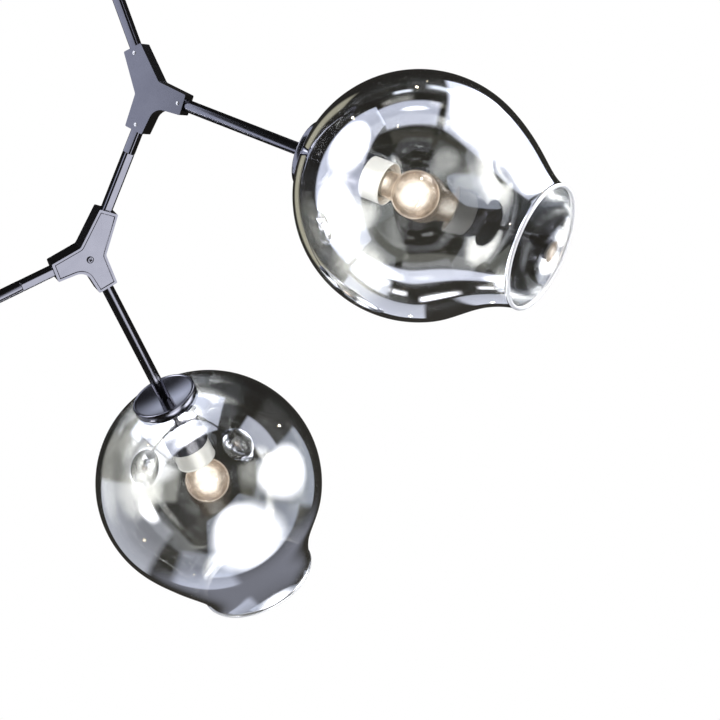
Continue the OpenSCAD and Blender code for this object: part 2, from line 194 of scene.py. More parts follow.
def add_tube(bm, path, r, n=12, closed=False):
    """A round wire along points in metres."""
    pts = [Vector(p) for p in path]
    rings, normal = [], None
    for i, p in enumerate(pts):
        t = (pts[(i + 1) % len(pts)] - pts[i - 1]) if closed else (pts[min(i + 1, len(pts) - 1)] - pts[max(i - 1, 0)])
        t.normalize()
        if normal is None:
            normal = t.orthogonal().normalized()
        normal = (normal - t * normal.dot(t)).normalized()
        b = t.cross(normal)
        rings.append([bm.verts.new(p + (normal * math.cos(2 * math.pi * k / n) + b * math.sin(2 * math.pi * k / n)) * r)
                      for k in range(n)])
    for i in range(len(rings) - (0 if closed else 1)):
        A, B = rings[i], rings[(i + 1) % len(rings)]
        for k in range(n):
            bm.faces.new((A[k], B[k], B[(k + 1) % n], A[(k + 1) % n]))
    if not closed:
        bm.faces.new(rings[0])
        bm.faces.new(rings[-1])


def piece(name, bm, slot, mats, body, *nodes, sharp=35):
    o = new_object(name, bm, mats, sharp)
    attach(o, body)
    if nodes:
        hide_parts(*nodes)
    return o


def lathe_piece(name, prof, M, slot, mat, body, *nodes, n=128, sharp=35):
    bm = bmesh.new()
    add_lathe(bm, prof, M, n)
    return piece(name, bm, slot, [mat], body, *nodes, sharp=sharp)


def outer_corners(bm, side):
    """The long outer edges of a drawn square tube."""
    sharp = [e for e in bm.edges if len(e.link_faces) == 2 and e.calc_face_angle(0) > 1.2]
    longest = max(sharp, key=lambda e: e.calc_length())
    axis = (longest.verts[1].co - longest.verts[0].co).normalized()
    run = [e for e in sharp if e.calc_length() > 0.008 and abs((e.verts[1].co - e.verts[0].co).normalized().dot(axis)) > 0.9995]
    mid = sum(((e.verts[0].co + e.verts[1].co) / 2 for e in run), Vector()) / len(run)
    out = []
    for e in run:
        d = (e.verts[0].co + e.verts[1].co) / 2 - mid
        if abs((d - axis * d.dot(axis)).length - side * MM / math.sqrt(2)) < 0.0003:
            out.append(e)
    return out


def softened(node, name, slot, mat, body, width, segments=3, limit=28, tube=None, only=None):
    """A copy of a CAD node with its hard edges rounded, as a cast, drawn or pressed part has them. tube gives a square tube's side
    and the radius of its long corners, only picks the vertices between which edges are rounded."""
    bm = bmesh.new()
    bm.from_mesh(frame["nodes"][node].data)
    bmesh.ops.remove_doubles(bm, verts=bm.verts, dist=2e-6)
    bmesh.ops.dissolve_limit(bm, angle_limit=math.radians(0.8), verts=bm.verts, edges=bm.edges)
    bmesh.ops.recalc_face_normals(bm, faces=bm.faces)
    if tube:
        bmesh.ops.bevel(bm, geom=outer_corners(bm, tube[0]), offset=tube[1] * MM, offset_type="OFFSET", segments=6, profile=0.5,
                        affect="EDGES", clamp_overlap=False, harden_normals=False)
    edges = [e for e in bm.edges if len(e.link_faces) == 2 and e.calc_face_angle(0) > math.radians(limit)]
    if only:
        edges = [e for e in edges if only(e.verts[0].co) and only(e.verts[1].co)]
    bmesh.ops.bevel(bm, geom=edges, offset=width * MM, offset_type="OFFSET", segments=segments, profile=0.5,
                    affect="EDGES", clamp_overlap=not only, harden_normals=False)
    bmesh.ops.triangulate(bm, faces=[f for f in bm.faces if len(f.verts) > 4])
    bmesh.ops.dissolve_degenerate(bm, dist=1e-6, edges=bm.edges)
    o = piece(name, bm, slot, [mat], body, node, sharp=50)
    even = o.modifiers.new("even_shading", "WEIGHTED_NORMAL")
    even.mode, even.weight, even.keep_sharp = "FACE_AREA", 100, True
    return o


# ---------------------------------------------------------------- materials
class Tree:
    def __init__(self, name):
        self.material = bpy.data.materials.new(name)
        self.material.use_nodes = True
        self.tree = self.material.node_tree
        self.tree.nodes.clear()
        self.out = self.tree.nodes.new("ShaderNodeOutputMaterial")

    def node(self, kind, props=None, **inputs):
        n = self.tree.nodes.new(kind)
        for k, v in (props or {}).items():
            setattr(n, k, v)
        for k, v in inputs.items():
            self.put(n, k.replace("_", " "), v)
        return n

    def put(self, n, name, v):
        s = n.inputs[int(name)] if name.isdigit() else n.inputs[name]
        if isinstance(v, bpy.types.NodeSocket):
            self.tree.links.new(v, s)
        else:
            s.default_value = v

    def link(self, a, b):
        self.tree.links.new(a, b)

    def coords(self, scale=1.0):
        c = self.node("ShaderNodeTexCoord").outputs["Object"]
        if scale == 1.0:
            return c
        m = self.node("ShaderNodeMapping", Vector=c)
        m.inputs["Scale"].default_value = scale if hasattr(scale, "__len__") else (scale,) * 3
        return m.outputs[0]

    def noise(self, scale, detail=3.0, rough=0.5, vector=None):
        return self.node("ShaderNodeTexNoise", Vector=vector or self.coords(), Scale=scale, Detail=detail,
                         Roughness=rough).outputs["Fac"]

    def ramp(self, fac, *stops):
        r = self.node("ShaderNodeValToRGB", Fac=fac)
        e = r.color_ramp.elements
        while len(e) < len(stops):
            e.new(0.5)
        for k, (at, col) in enumerate(stops):
            e[k].position = at
            e[k].color = (*col, 1) if len(col) == 3 else col
        return r.outputs["Color"]

    def span(self, value, lo, hi, to_lo, to_hi, kind="LINEAR"):
        m = self.node("ShaderNodeMapRange", {"interpolation_type": kind, "clamp": True})
        for k, v in zip(("Value", "From Min", "From Max", "To Min", "To Max"), (value, lo, hi, to_lo, to_hi)):
            self.put(m, k, v)
        return m.outputs[0]

    def bump(self, height, distance, strength=1.0):
        return self.node("ShaderNodeBump", Height=height, Distance=distance, Strength=strength).outputs[0]

    def done(self, shader):
        self.link(shader, self.out.inputs["Surface"])
        return self.material


def metal(name, dark, light, rough, fine, bump, brushed=None, coat=0.0, metallic=1.0):
    """A metal finish: broad tone and gloss variation, and a fine surface texture in the bump."""
    t = Tree(name)
    broad = t.noise(38, 4, 0.6)
    small = t.noise(fine, 2, 0.5, t.coords(brushed) if brushed else None)
    colour = t.ramp(broad, (0.3, dark), (0.7, light))
    p = t.node("ShaderNodeBsdfPrincipled", Metallic=metallic)
    t.put(p, "Base Color", colour)
    t.put(p, "Roughness", t.span(small, 0.25, 0.75, rough[0], rough[1]))
    t.put(p, "Normal", t.bump(small, bump))
    if coat:
        p.inputs["Coat Weight"].default_value = coat
        p.inputs["Coat Roughness"].default_value = 0.12
    return t.done(p.outputs[0])


def solid(name, a, b, rough, fine, bump, spec=0.5, sub=0.0):
    """Rubber, plastic and ceramic: mottled colour with a fine moulded or fired grain."""
    t = Tree(name)
    broad = t.noise(55, 5, 0.6)
    small = t.noise(fine, 3, 0.6)
    p = t.node("ShaderNodeBsdfPrincipled")
    t.put(p, "Base Color", t.ramp(broad, (0.3, a), (0.7, b)))
    t.put(p, "Roughness", t.span(small, 0.2, 0.8, rough[0], rough[1]))
    t.put(p, "Normal", t.bump(small, bump))
    p.inputs["Specular IOR Level"].default_value = spec
    return t.done(p.outputs[0])


BLACK = metal("black_metal", (0.175, 0.175, 0.20), (0.20, 0.20, 0.225), (0.14, 0.19), 1400, 0.0000009)
STEEL = metal("bright_steel", (0.60, 0.60, 0.62), (0.72, 0.72, 0.74), (0.18, 0.34), 900, 0.00002)
NICKEL = metal("nickel", (0.74, 0.73, 0.70), (0.82, 0.81, 0.78), (0.12, 0.22), 700, 0.00001)
BRASS = metal("brass", (0.62, 0.46, 0.22), (0.78, 0.60, 0.30), (0.20, 0.36), 800, 0.00002)
RUBBER = solid("rubber", (0.018, 0.018, 0.018), (0.035, 0.035, 0.036), (0.6, 0.8), 900, 0.00004)
PLASTIC = solid("white_plastic", (0.74, 0.74, 0.70), (0.82, 0.82, 0.79), (0.32, 0.46), 700, 0.00001)
LEAD = solid("lead_insulation", (0.34, 0.035, 0.028), (0.46, 0.055, 0.042), (0.35, 0.5), 900, 0.00001)
CERAMIC = solid("holder_ceramic", (0.70, 0.66, 0.60), (0.80, 0.77, 0.71), (0.55, 0.75), 600, 0.00004)
SLEEVE = metal("holder_silver", (0.90, 0.90, 0.89), (0.96, 0.96, 0.95), (0.30, 0.42), 260, 0.000008, metallic=0.3)


def glass_coated():
    """The outer face: smoke tint with a half-mirror coat, stronger at a glancing angle."""
    t = Tree("smoked_glass")
    facing = t.node("ShaderNodeLayerWeight", Blend=0.5).outputs["Facing"]
    streaks = t.noise(9, 3, 0.5, t.coords((1, 1, 0.45)))
    share = t.span(facing, 0.0, 1.0, 0.27, 0.97, "SMOOTHERSTEP")
    tint = t.ramp(facing, (0.0, (0.92, 0.915, 0.89)), (0.62, (0.78, 0.77, 0.72)), (0.85, (0.36, 0.34, 0.28)), (1.0, (0.10, 0.09, 0.07)))
    clear = t.node("ShaderNodeBsdfTransparent", Color=tint)
    coat = t.node("ShaderNodeBsdfPrincipled", Metallic=1.0)
    t.put(coat, "Base Color", t.ramp(streaks, (0.3, (0.86, 0.87, 0.90)), (0.7, (0.93, 0.94, 0.97))))
    t.put(coat, "Roughness", t.span(streaks, 0.3, 0.7, 0.012, 0.03))
    t.put(coat, "Normal", t.bump(t.noise(26, 1, 0.4), 0.00012))
    mix = t.node("ShaderNodeMixShader", Fac=share)
    t.link(clear.outputs[0], mix.inputs[1])
    t.link(coat.outputs[0], mix.inputs[2])
    return t.done(mix.outputs[0])


def glass_plain(name, tint, at_face, at_edge, rough=0.01):
    """Uncoated glass: what it shows behind it, and a weak reflection."""
    t = Tree(name)
    facing = t.node("ShaderNodeLayerWeight", Blend=0.5).outputs["Facing"]
    cloud = t.noise(30, 3, 0.5)
    share = t.span(facing, 0.35, 1.0, at_face, at_edge, "SMOOTHSTEP")
    clear = t.node("ShaderNodeBsdfTransparent", Color=t.ramp(cloud, (0.3, tint), (0.7, tuple(min(1, c * 1.03) for c in tint))))
    shine = t.node("ShaderNodeBsdfPrincipled", Metallic=1.0, Roughness=rough)
    t.put(shine, "Base Color", t.ramp(cloud, (0.3, (0.90, 0.91, 0.93)), (0.7, (0.96, 0.97, 0.99))))
    mix = t.node("ShaderNodeMixShader", Fac=share)
    t.link(clear.outputs[0], mix.inputs[1])
    t.link(shine.outputs[0], mix.inputs[2])
    return t.done(mix.outputs[0])


GLASS = glass_coated()
GLASS_IN = glass_plain("smoked_glass_inside", (0.97, 0.97, 0.96), 0.13, 0.6)


def glass_lip():
    """The fire-polished bead at the mouth: clear glass mixed with a near-white surface, a painted highlight for the
    light that thick glass gathers, whiter at a glancing angle.
    """
    t = Tree("smoked_glass_lip")
    facing = t.node("ShaderNodeLayerWeight", Blend=0.5).outputs["Facing"]
    cloud = t.noise(45, 3, 0.5)
    clear = t.node("ShaderNodeBsdfTransparent", Color=t.ramp(cloud, (0.3, (0.80, 0.80, 0.78)), (0.7, (0.86, 0.86, 0.84))))
    # the near-white surface is a painted highlight, standing in for the light that the thick bead gathers
    white = t.node("ShaderNodeBsdfPrincipled", Metallic=0.25)
    t.put(white, "Base Color", t.ramp(cloud, (0.3, (0.92, 0.92, 0.92)), (0.7, (0.97, 0.97, 0.97))))
    t.put(white, "Roughness", t.span(cloud, 0.3, 0.7, 0.10, 0.16))
    mix = t.node("ShaderNodeMixShader", Fac=t.span(facing, 0.0, 0.8, 0.62, 0.95, "SMOOTHSTEP"))
    t.link(clear.outputs[0], mix.inputs[1])
    t.link(white.outputs[0], mix.inputs[2])
    return t.done(mix.outputs[0])


GLASS_LIP_PAINTED_HIGHLIGHT = glass_lip()


def bulb_shell():
    """Clear bulb glass that glows with the lit filament behind it."""
    t = Tree("bulb_glass")
    facing = t.node("ShaderNodeLayerWeight", Blend=0.5).outputs["Facing"]
    cloud = t.noise(34, 2, 0.4)
    glow = t.node("ShaderNodeEmission", Color=t.ramp(facing, (0.0, (1.0, 0.96, 0.92)), (0.10, (1.0, 0.92, 0.84)), (0.30, (0.90, 0.74, 0.61)), (0.62, (0.72, 0.55, 0.43)), (0.76, (1.0, 0.88, 0.76)), (1.0, (0.80, 0.66, 0.54))))
    t.put(glow, "Strength", t.node("ShaderNodeMath", {"operation": "MULTIPLY"}, **{"0": t.ramp(facing, (0.0, (1.0, 1.0, 1.0)), (0.09, (0.80, 0.80, 0.80)), (0.26, (0.30, 0.30, 0.30)), (0.60, (0.25, 0.25, 0.25)), (0.74, (0.52, 0.52, 0.52)), (1.0, (0.40, 0.40, 0.40))), "1": t.span(t.noise(75, 3, 0.55), 0.38, 0.62, 2.1, 4.3)}).outputs[0])
    clear = t.node("ShaderNodeBsdfTransparent", Color=(1.0, 0.96, 0.90, 1))
    a = t.node("ShaderNodeMixShader", Fac=t.span(facing, 0.0, 1.0, 0.62, 0.5))
    t.link(clear.outputs[0], a.inputs[1])
    t.link(glow.outputs[0], a.inputs[2])
    shine = t.node("ShaderNodeBsdfPrincipled", Metallic=1.0, Roughness=0.03)
    t.put(shine, "Base Color", t.ramp(cloud, (0.3, (0.94, 0.90, 0.85)), (0.7, (1.0, 0.96, 0.92))))
    b = t.node("ShaderNodeMixShader", Fac=t.span(facing, 0.3, 1.0, 0.05, 0.6))
    t.link(a.outputs[0], b.inputs[1])
    t.link(shine.outputs[0], b.inputs[2])
    return t.done(b.outputs[0])


def filament():
    t = Tree("filament")
    wave = t.node("ShaderNodeTexNoise", Vector=t.coords(), Scale=900.0).outputs["Fac"]
    e = t.node("ShaderNodeEmission", Color=t.ramp(wave, (0.3, (1.0, 0.62, 0.30)), (0.7, (1.0, 0.80, 0.52))))
    t.put(e, "Strength", t.span(wave, 0.3, 0.7, 60, 95))
    return t.done(e.outputs[0])


BULB = bulb_shell()
FILAMENT = filament()

SLOT_OF = {
    "black_metal": BLACK, "bright_steel": STEEL, "nickel": NICKEL, "brass": BRASS, "rubber": RUBBER,
    "white_plastic": PLASTIC, "lead_insulation": LEAD, "holder_silver": SLEEVE, "holder_ceramic": CERAMIC,
    "smoked_glass": GLASS, "bulb_glass": BULB,
}
NODE_SLOT = {
    "ceiling_bracket": "bright_steel", "bracket_studs": "bright_steel", "canopy": "black_metal",
    "canopy_cap_nuts": "black_metal", "canopy_bush": "black_metal", "bush_lock_nut": "bright_steel",
    "terminal_block": "white_plastic", "stem_pivot": "bright_steel", "stem_tube": "black_metal",
    "stem_wires": "lead_insulation", "hub_1_body": "black_metal", "hub_1_cover": "black_metal",
    "hub_1_cover_screw": "black_metal", "hub_1_set_screws": "nickel", "mid_arm_upper": "black_metal",
    "mid_arm_pivot": "bright_steel", "mid_arm_wires": "lead_insulation", "mid_arm_lower": "black_metal",
    "mid_arm_bush": "brass", "hub_2_body": "black_metal", "hub_2_cover": "black_metal",
    "hub_2_cover_screw": "black_metal", "hub_2_set_screws": "nickel", "left_arm_root": "black_metal",
}
for i in (1, 2, 3):
    NODE_SLOT.update({
        f"arm_{i}_tube": "black_metal", f"arm_{i}_wires": "lead_insulation", f"cup_{i}": "black_metal",
        f"gasket_{i}": "rubber", f"shade_{i}": "smoked_glass", f"clamp_disc_{i}": "black_metal",
        f"nipple_{i}": "bright_steel", f"holder_cap_{i}": "black_metal", f"holder_sleeve_{i}": "holder_silver",
        f"holder_core_{i}": "holder_ceramic", f"bulb_cap_{i}": "nickel", f"bulb_glass_{i}": "bulb_glass",
    })
for name, o in frame["nodes"].items():
    for s in o.material_slots:
        s.material = SLOT_OF[NODE_SLOT[name]]
    o.data.polygons.foreach_set("use_smooth", [True] * len(o.data.polygons))
    o.data.set_sharp_from_angle(angle=math.radians(30))

# ---------------------------------------------------------------- hubs, square arms and ceiling parts: rounded edges
for node, body, width in (
    ("hub_1_body", "stem", 0.8), ("hub_2_body", "lower_frame", 0.8), ("canopy", "ceiling", 0.5), ("canopy_bush", "ceiling", 0.4),
):
    softened(node, node + "_finished", "black_metal", BLACK, body, width, 4 if width > 0.5 else 3)
# the covers' outer edges only, wide enough for the groove round them to show
for i, body in ((1, "stem"), (2, "lower_frame")):
    softened(f"hub_{i}_cover", f"hub_{i}_cover_finished", "black_metal", BLACK, body, 0.55, 4,
             only=lambda v, M=HUB[i].inverted(): abs((M @ v).y) > 7.4 * MM)
for node, body in (("stem_tube", "stem"), ("mid_arm_upper", "stem"), ("mid_arm_lower", "lower_frame"), ("left_arm_root", "lower_frame")):
    softened(node, node + "_finished", "black_metal", BLACK, body, 0.3, tube=(10, 2.3))
softened("ceiling_bracket", "ceiling_bracket_finished", "bright_steel", STEEL, "ceiling", 0.3)
softened("terminal_block", "terminal_block_finished", "white_plastic", PLASTIC, "ceiling", 0.35)



def add_screw(bm, M, stack, recess):
    """A screw along y of M: (radius, y) rings of its outside, and the outlines, each at its own y, of the recess in its head."""
    def ring(points, y):
        return [bm.verts.new(M @ (Vector((x, y, z)) * MM)) for x, z in points]

    def circle(r, n=48):
        return [(r * math.cos(2 * math.pi * k / n), r * math.sin(2 * math.pi * k / n)) for k in range(n)]

    def walls(A, B):
        n = len(A)
        for k in range(n):
            bm.faces.new((A[k], A[(k + 1) % n], B[(k + 1) % n], B[k]))

    outside = [ring(circle(r), y) for r, y in stack]
    bm.faces.new(outside[0])
    for A, B in zip(outside, outside[1:]):
        walls(A, B)
    inside = [ring(points, y) for points, y in recess]
    for A, B in zip(inside, inside[1:]):
        walls(A, B)
    bm.faces.new(inside[-1])
    edge = []
    for A in (outside[-1], inside[0]):
        edge += [bm.edges.get((A[k], A[(k + 1) % len(A)])) for k in range(len(A))]
    bmesh.ops.triangle_fill(bm, use_beauty=True, use_dissolve=False, edges=edge)


def cross(w, l):
    return [(l, -w), (l, w), (w, w), (w, l), (-w, l), (-w, w), (-l, w), (-l, -w), (-w, -w), (-w, -l), (w, -l), (w, -w)]


def slot_outline(w, l, turn):
    c, s = math.cos(math.radians(turn)), math.sin(math.radians(turn))
    return [(x * c - z * s, x * s + z * c) for x, z in ((-l, -w), (l, -w), (l, w), (-l, w))]


for i, flip in ((1, 1), (2, -1)):
    body = {1: "stem", 2: "lower_frame"}[i]
    # the cover's pan-head screw with its cross recess
    bm = bmesh.new()
    add_screw(bm, HUB[i] @ Matrix.Diagonal((1, flip, 1, 1)) @ Matrix.Translation((0, 7.8 * MM, -4.4 * MM)),
              [(1.2, -10.0), (1.48, -9.7), (1.48, 0.02), (3.4, 0.02), (3.5, 0.1), (3.5, 0.75), (3.36, 1.05), (3.05, 1.27), (2.85, 1.33), (2.8, 1.35)],
              [(cross(0.56, 2.0), 1.35), (cross(0.52, 1.92), 1.22), (cross(0.10, 0.45), -1.6)])
    piece(f"cross_screw_{i}", bm, "black_metal", [BLACK], body, f"hub_{i}_cover_screw", sharp=30)
    # three slotted headless screws
    bm = bmesh.new()
    for M, z, tip, turn in ((Matrix.Identity(4), 40.3, 5.06, 8), (along(-1), 33.8, 5.06, 40), (along(1), 33.8, 6.09, -12)):
        add_screw(bm, HUB[i] @ Matrix.Diagonal((1, -flip, 1, 1)) @ M @ up_z(z),
                  [(1.5, tip), (1.96, tip + 0.45), (1.96, 7.76), (1.85, 7.88), (1.8, 7.9)],
                  [(slot_outline(0.20, 1.0, turn), 7.9), (slot_outline(0.05, 0.85, turn), 6.9)])
    piece(f"slotted_screws_{i}", bm, "nickel", [NICKEL], body, f"hub_{i}_set_screws", sharp=30)

# ---------------------------------------------------------------- globe arms
LIP_R, LIP_Z = 58.2, 131.0


def bez(a, b, c, d, t):
    return a * (1 - t) ** 3 + 3 * b * t * (1 - t) ** 2 + 3 * c * t * t * (1 - t) + d * t ** 3


def shade_profile():
    """The glass wall's section: a ball, a neck that draws in, and a thick fire-polished lip."""
    R, wall = 115.0, 2.2
    a33 = math.radians(33)
    start = math.acos(-math.sqrt(R * R - 29.0 ** 2) / R)
    n0 = np.array((R * math.cos(a33), R * math.sin(a33)))
    # in (r, z): the wall leaves the ball along its tangent and comes to the lip almost along the axis
    n1 = n0 + 30 * np.array((-math.sin(a33), math.cos(a33)))
    n3 = np.array((59.3, 129.5))
    n2 = n3 + np.array((2.6, -18.5))
    outer = [(R * math.sin(a), R * math.cos(a)) for a in np.linspace(start, math.pi / 2 - a33, 96)]
    outer += [tuple(bez(n0, n1, n2, n3, t)) for t in np.linspace(0, 1, 40)[1:]]
    P = np.array(outer)
    d = np.gradient(P, axis=0)
    d /= np.linalg.norm(d, axis=1)[:, None]
    left = np.stack((-d[:, 1], d[:, 0]), 1)
    inner = P + wall * left
    if np.hypot(*inner[10]) > R:
        inner = P - wall * left
    lip = [(LIP_R + 2.0 * math.cos(a), LIP_Z + 2.0 * math.sin(a)) for a in np.linspace(-0.35, math.pi + 0.35, 18)]
    keep_out = [p for p in outer if p[1] < LIP_Z - 1.4]
    keep_in = [tuple(p) for p in inner if p[1] < LIP_Z - 1.4]
    return keep_out, lip, keep_in[::-1]


def neck_lean(i):
    """Blown glass is never quite round: each neck leans a little, by up to 2.7 mm, and one lip sits 3 mm off the axis."""
    off = GLOBE[1].to_3x3().inverted() @ from_view(-0.353, -0.935, 0) * 3.0
    side = {1: from_view(0.38, 0.925, 0), 2: from_view(-0.88, -0.475, 0), 3: from_view(0.5, 0.8, 0.2)}[i]
    local = (GLOBE[i].to_3x3().inverted() @ side)
    local.z = 0
    local.normalize()

    def warp(p):
        if 50 < p.z < 130:
            p = p + local * (2.7 * math.sin(math.pi * (p.z - 50) / 80) ** 2)
        if i == 1 and p.z > 60:
            t = min(1.0, (p.z - 60) / 65)
            t = t * t * (3 - 2 * t)
            p = p + Vector((off.x, off.y, -2.2)) * t
        return p

    return warp


OUT, LIP, IN = shade_profile()
for i in (1, 2, 3):
    G, body = GLOBE[i], BODY[i]
    # glass
    bm = bmesh.new()
    prof = OUT + LIP + IN
    kinds = [0] * len(OUT) + [2] * len(LIP) + [1] * len(IN)
    n_out, n_lip = len(OUT), len(LIP)
    order = iter(kinds)
    index = {}
    for k, (r, z) in enumerate(prof):
        nr, nz = prof[(k + 1) % len(prof)]
        index[(round((r + nr) / 2, 6), round((z + nz) / 2, 6))] = kinds[k]
    add_lathe(bm, prof, G, 192, lambda r, z: index.get((round(r, 6), round(z, 6)), 0), neck_lean(i))
    piece(f"blown_shade_{i}", bm, "smoked_glass", [GLASS, GLASS_IN, GLASS_LIP_PAINTED_HIGHLIGHT], body, f"shade_{i}", sharp=60)

    # cup: a shallow dish with a rolled rim
    edge = dish(30.2)
    end = ball(31.9, 115) - 0.1
    cup = [(r, dish(r), 0) for r in np.linspace(3.05, 29.6, 22)]
    cup += [(30.4, edge - 0.05, 0.4), (31.2, edge - 0.55, 0.7), (33.2, edge - 0.2, 1.5), (33.2, end, 0.35), (31.9, end, 0.2),
            (31.9, edge + 1.4, 1.0)]
    cup += [(r, dish(r) + 1.2, 0) for r in np.linspace(30.0, 3.05, 20)]
    lathe_piece(f"dished_cup_{i}", rounded(cup, 5), G, "black_metal", BLACK, body, f"cup_{i}", n=160)

    # round arm, ending in the dish
    a_end = 297.5 + dish(6) - 0.04
    if i != 3:
        tube = rounded([(3.03, 26.5), (6, 26.5, 0.4), (6, a_end, 0.5), (3.03, a_end), (3.03, a_end - 11.5), (5, a_end - 11.5), (5, 28), (3.03, 28)], 4)
        # the bore runs open at the hub end
        tube = rounded([(5, 26.5), (6, 26.5, 0.4), (6, a_end, 0.5), (3.03, a_end), (3.03, a_end - 11.5), (5, a_end - 11.5)], 4)
    else:
        s = 73.5 + 0.2
        tube = rounded([(2.85, s - 22), (3.9, s - 22, 0.3), (3.9, s - 0.01), (6, s, 0.4), (6, a_end, 0.5), (3.03, a_end), (3.03, a_end - 11.5), (5, a_end - 11.5), (5, s + 4), (2.85, s + 4)], 4)
    lathe_piece(f"round_arm_{i}", tube, ARM[i], "black_metal", BLACK, body, f"arm_{i}_tube", n=96)

    # lamp holder
    hz = -32.0
    cap = rounded([(3.03, hz - 55), (3.9, hz - 55, 0.3), (4.1, hz - 49, 3), (5.0, hz - 46.2, 3), (9.5, hz - 43.9, 6), (18.0, hz - 41.4, 4),
                   (20.7, hz - 40.2, 1.6), (20.7, hz - 20.8, 0.5), (20.03, hz - 20.8), (20.03, hz - 38.7, 1.0), (18.2, hz - 39.9, 1),
                   (10, hz - 42.4, 3), (6.2, hz - 43.7, 2), (3.03, hz - 46)], 6)
    lathe_piece(f"flared_cap_{i}", cap, G, "black_metal", BLACK, body, f"holder_cap_{i}", n=128)
    sleeve = rounded([(19, hz - 38.4), (20, hz - 38.4, 0.2), (20, hz - 19.6), (19.7, hz - 19.3, 0.2), (20, hz - 19.0), (20, hz - 2.3, 0.2), (19.6, hz - 1.9, 0.3), (20.35, hz - 1.3, 0.5),
                      (20.3, hz - 0.2, 0.5), (19.6, hz, 0.3), (19, hz - 0.3, 0.2)], 4)
    lathe_piece(f"bright_sleeve_{i}", sleeve, G, "holder_silver", SLEEVE, body, f"holder_sleeve_{i}", n=128)

    # bulb: thin shell, and inside it the stem, the supports and the coiled filament
    bz, br, cap_z = -4.0, 22.5, -33.0
    outer = [(br * math.cos(a), bz + br * math.sin(a)) for a in np.linspace(math.pi / 2, math.radians(-52), 48)]
    outer[0] = (0.0, bz + br)
    inner = [((br - 0.8) * math.cos(a), bz + (br - 0.8) * math.sin(a)) for a in np.linspace(math.radians(-52), math.pi / 2, 48)]
    inner[-1] = (0.0, bz + br - 0.8)
    shell = outer + [(12.9, cap_z + 6.9), (12.35, cap_z + 3.5), (12.2, cap_z), (11.4, cap_z), (11.55, cap_z + 3.5), (12.1, cap_z + 7.1)] + inner
    lathe_piece(f"clear_bulb_{i}", shell, G, "bulb_glass", BULB, body, f"bulb_glass_{i}", n=96, sharp=60)
    bm = bmesh.new()
    add_lathe(bm, rounded([(0, cap_z + 0.5), (5.5, cap_z + 0.5, 1), (2.6, cap_z + 9, 3), (2.2, cap_z + 19, 1), (3.0, cap_z + 21, 0.8), (0, cap_z + 22.5)], 4), G, 32)
    piece(f"bulb_stem_{i}", bm, "bulb_glass", [GLASS_IN], body)
    bm = bmesh.new()
    for s in (-1, 1):
        add_tube(bm, [G @ (Vector(p) * MM) for p in ((s * 1.2, 0, cap_z + 18), (s * 2.6, 0, cap_z + 24), (s * 9.5, 0, bz + 3.0), (s * 9.9, 0, bz + 4.6))], 0.00028, 8)
    for s in (-1, 0, 1):
        add_tube(bm, [G @ (Vector(p) * MM) for p in ((s * 0.6, 0.4, cap_z + 21), (s * 2.2, 2.0, bz - 2), (s * 5.2, 3.4 - abs(s), bz + 4.4))], 0.00018, 6)
    piece(f"filament_supports_{i}", bm, "nickel", [NICKEL], body)
    bm = bmesh.new()
    coil = []
    for k in range(321):
        t = k / 320
        x = -9.9 + 19.8 * t
        y = 3.4 * math.sin(math.pi * t)
        z = bz + 4.6 + 1.6 * abs(math.sin(3 * math.pi * t))
        w = 2 * math.pi * 40 * t
        coil.append(G @ (Vector((x, y + 0.55 * math.cos(w), z + 0.55 * math.sin(w))) * MM))
    add_tube(bm, coil, 0.00012, 5)
    piece(f"filament_{i}", bm, "bulb_glass", [FILAMENT], body)

# ---------------------------------------------------------------- studio
scene = bpy.context.scene
scene.view_settings.view_transform = "Standard"
scene.view_settings.look = "None"
scene.view_settings.exposure = 0.0
scene.view_settings.gamma = 1.0
scene.cycles.max_bounces = 16
scene.cycles.glossy_bounces = 8
scene.cycles.transparent_max_bounces = 32
scene.cycles.sample_clamp_indirect = 8.0

world = bpy.data.worlds.new("studio")
scene.world = world
world.use_nodes = True
nodes_of = world.node_tree
nodes_of.nodes.clear()


def wn(kind, props=None, *values):
    n = nodes_of.nodes.new(kind)
    for k, v in (props or {}).items():
        setattr(n, k, v)
    for k, v in enumerate(values):
        if v is None:
            continue
        if isinstance(v, bpy.types.NodeSocket):
            nodes_of.links.new(v, n.inputs[k])
        else:
            n.inputs[k].default_value = v
    return n


def wmath(op, *v):
    return wn("ShaderNodeMath", {"operation": op}, *v).outputs[0]


def wdot(v, d):
    return wn("ShaderNodeVectorMath", {"operation": "DOT_PRODUCT"}, v, tuple(d)).outputs["Value"]


def wstep(v, lo, hi):
    n = wn("ShaderNodeMapRange", {"interpolation_type": "SMOOTHSTEP", "clamp": True}, v, lo, hi, 0.0, 1.0)
    return n.outputs[0]


# the dark room: what the glass and the black metal reflect between the softboxes, and a white backdrop for the camera itself
ray = wn("ShaderNodeTexCoord").outputs["Generated"]
room = wn("ShaderNodeMix", {"data_type": "RGBA"})
nodes_of.links.new(wstep(wdot(ray, (0, 0, 1)), -0.6, 0.8), room.inputs["Factor"])
room.inputs["A"].default_value = (0.040, 0.037, 0.032, 1)
room.inputs["B"].default_value = (0.022, 0.021, 0.019, 1)
paths = wn("ShaderNodeLightPath")
behind_glass = wmath("GREATER_THAN", paths.outputs["Transparent Depth"], 0.5)
seen = wn("ShaderNodeMix", {"data_type": "RGBA"})
nodes_of.links.new(behind_glass, seen.inputs["Factor"])
seen.inputs["A"].default_value = (1.0, 1.0, 1.0, 1)
seen.inputs["B"].default_value = (0.034, 0.032, 0.027, 1)
final = wn("ShaderNodeMix", {"data_type": "RGBA"})
nodes_of.links.new(paths.outputs["Is Camera Ray"], final.inputs["Factor"])
nodes_of.links.new(room.outputs["Result"], final.inputs["A"])
nodes_of.links.new(seen.outputs["Result"], final.inputs["B"])
bg = wn("ShaderNodeBackground")
nodes_of.links.new(final.outputs["Result"], bg.inputs["Color"])
wo = wn("ShaderNodeOutputWorld")
nodes_of.links.new(bg.outputs[0], wo.inputs["Surface"])

REACH = 3.0
lamp_number = 0


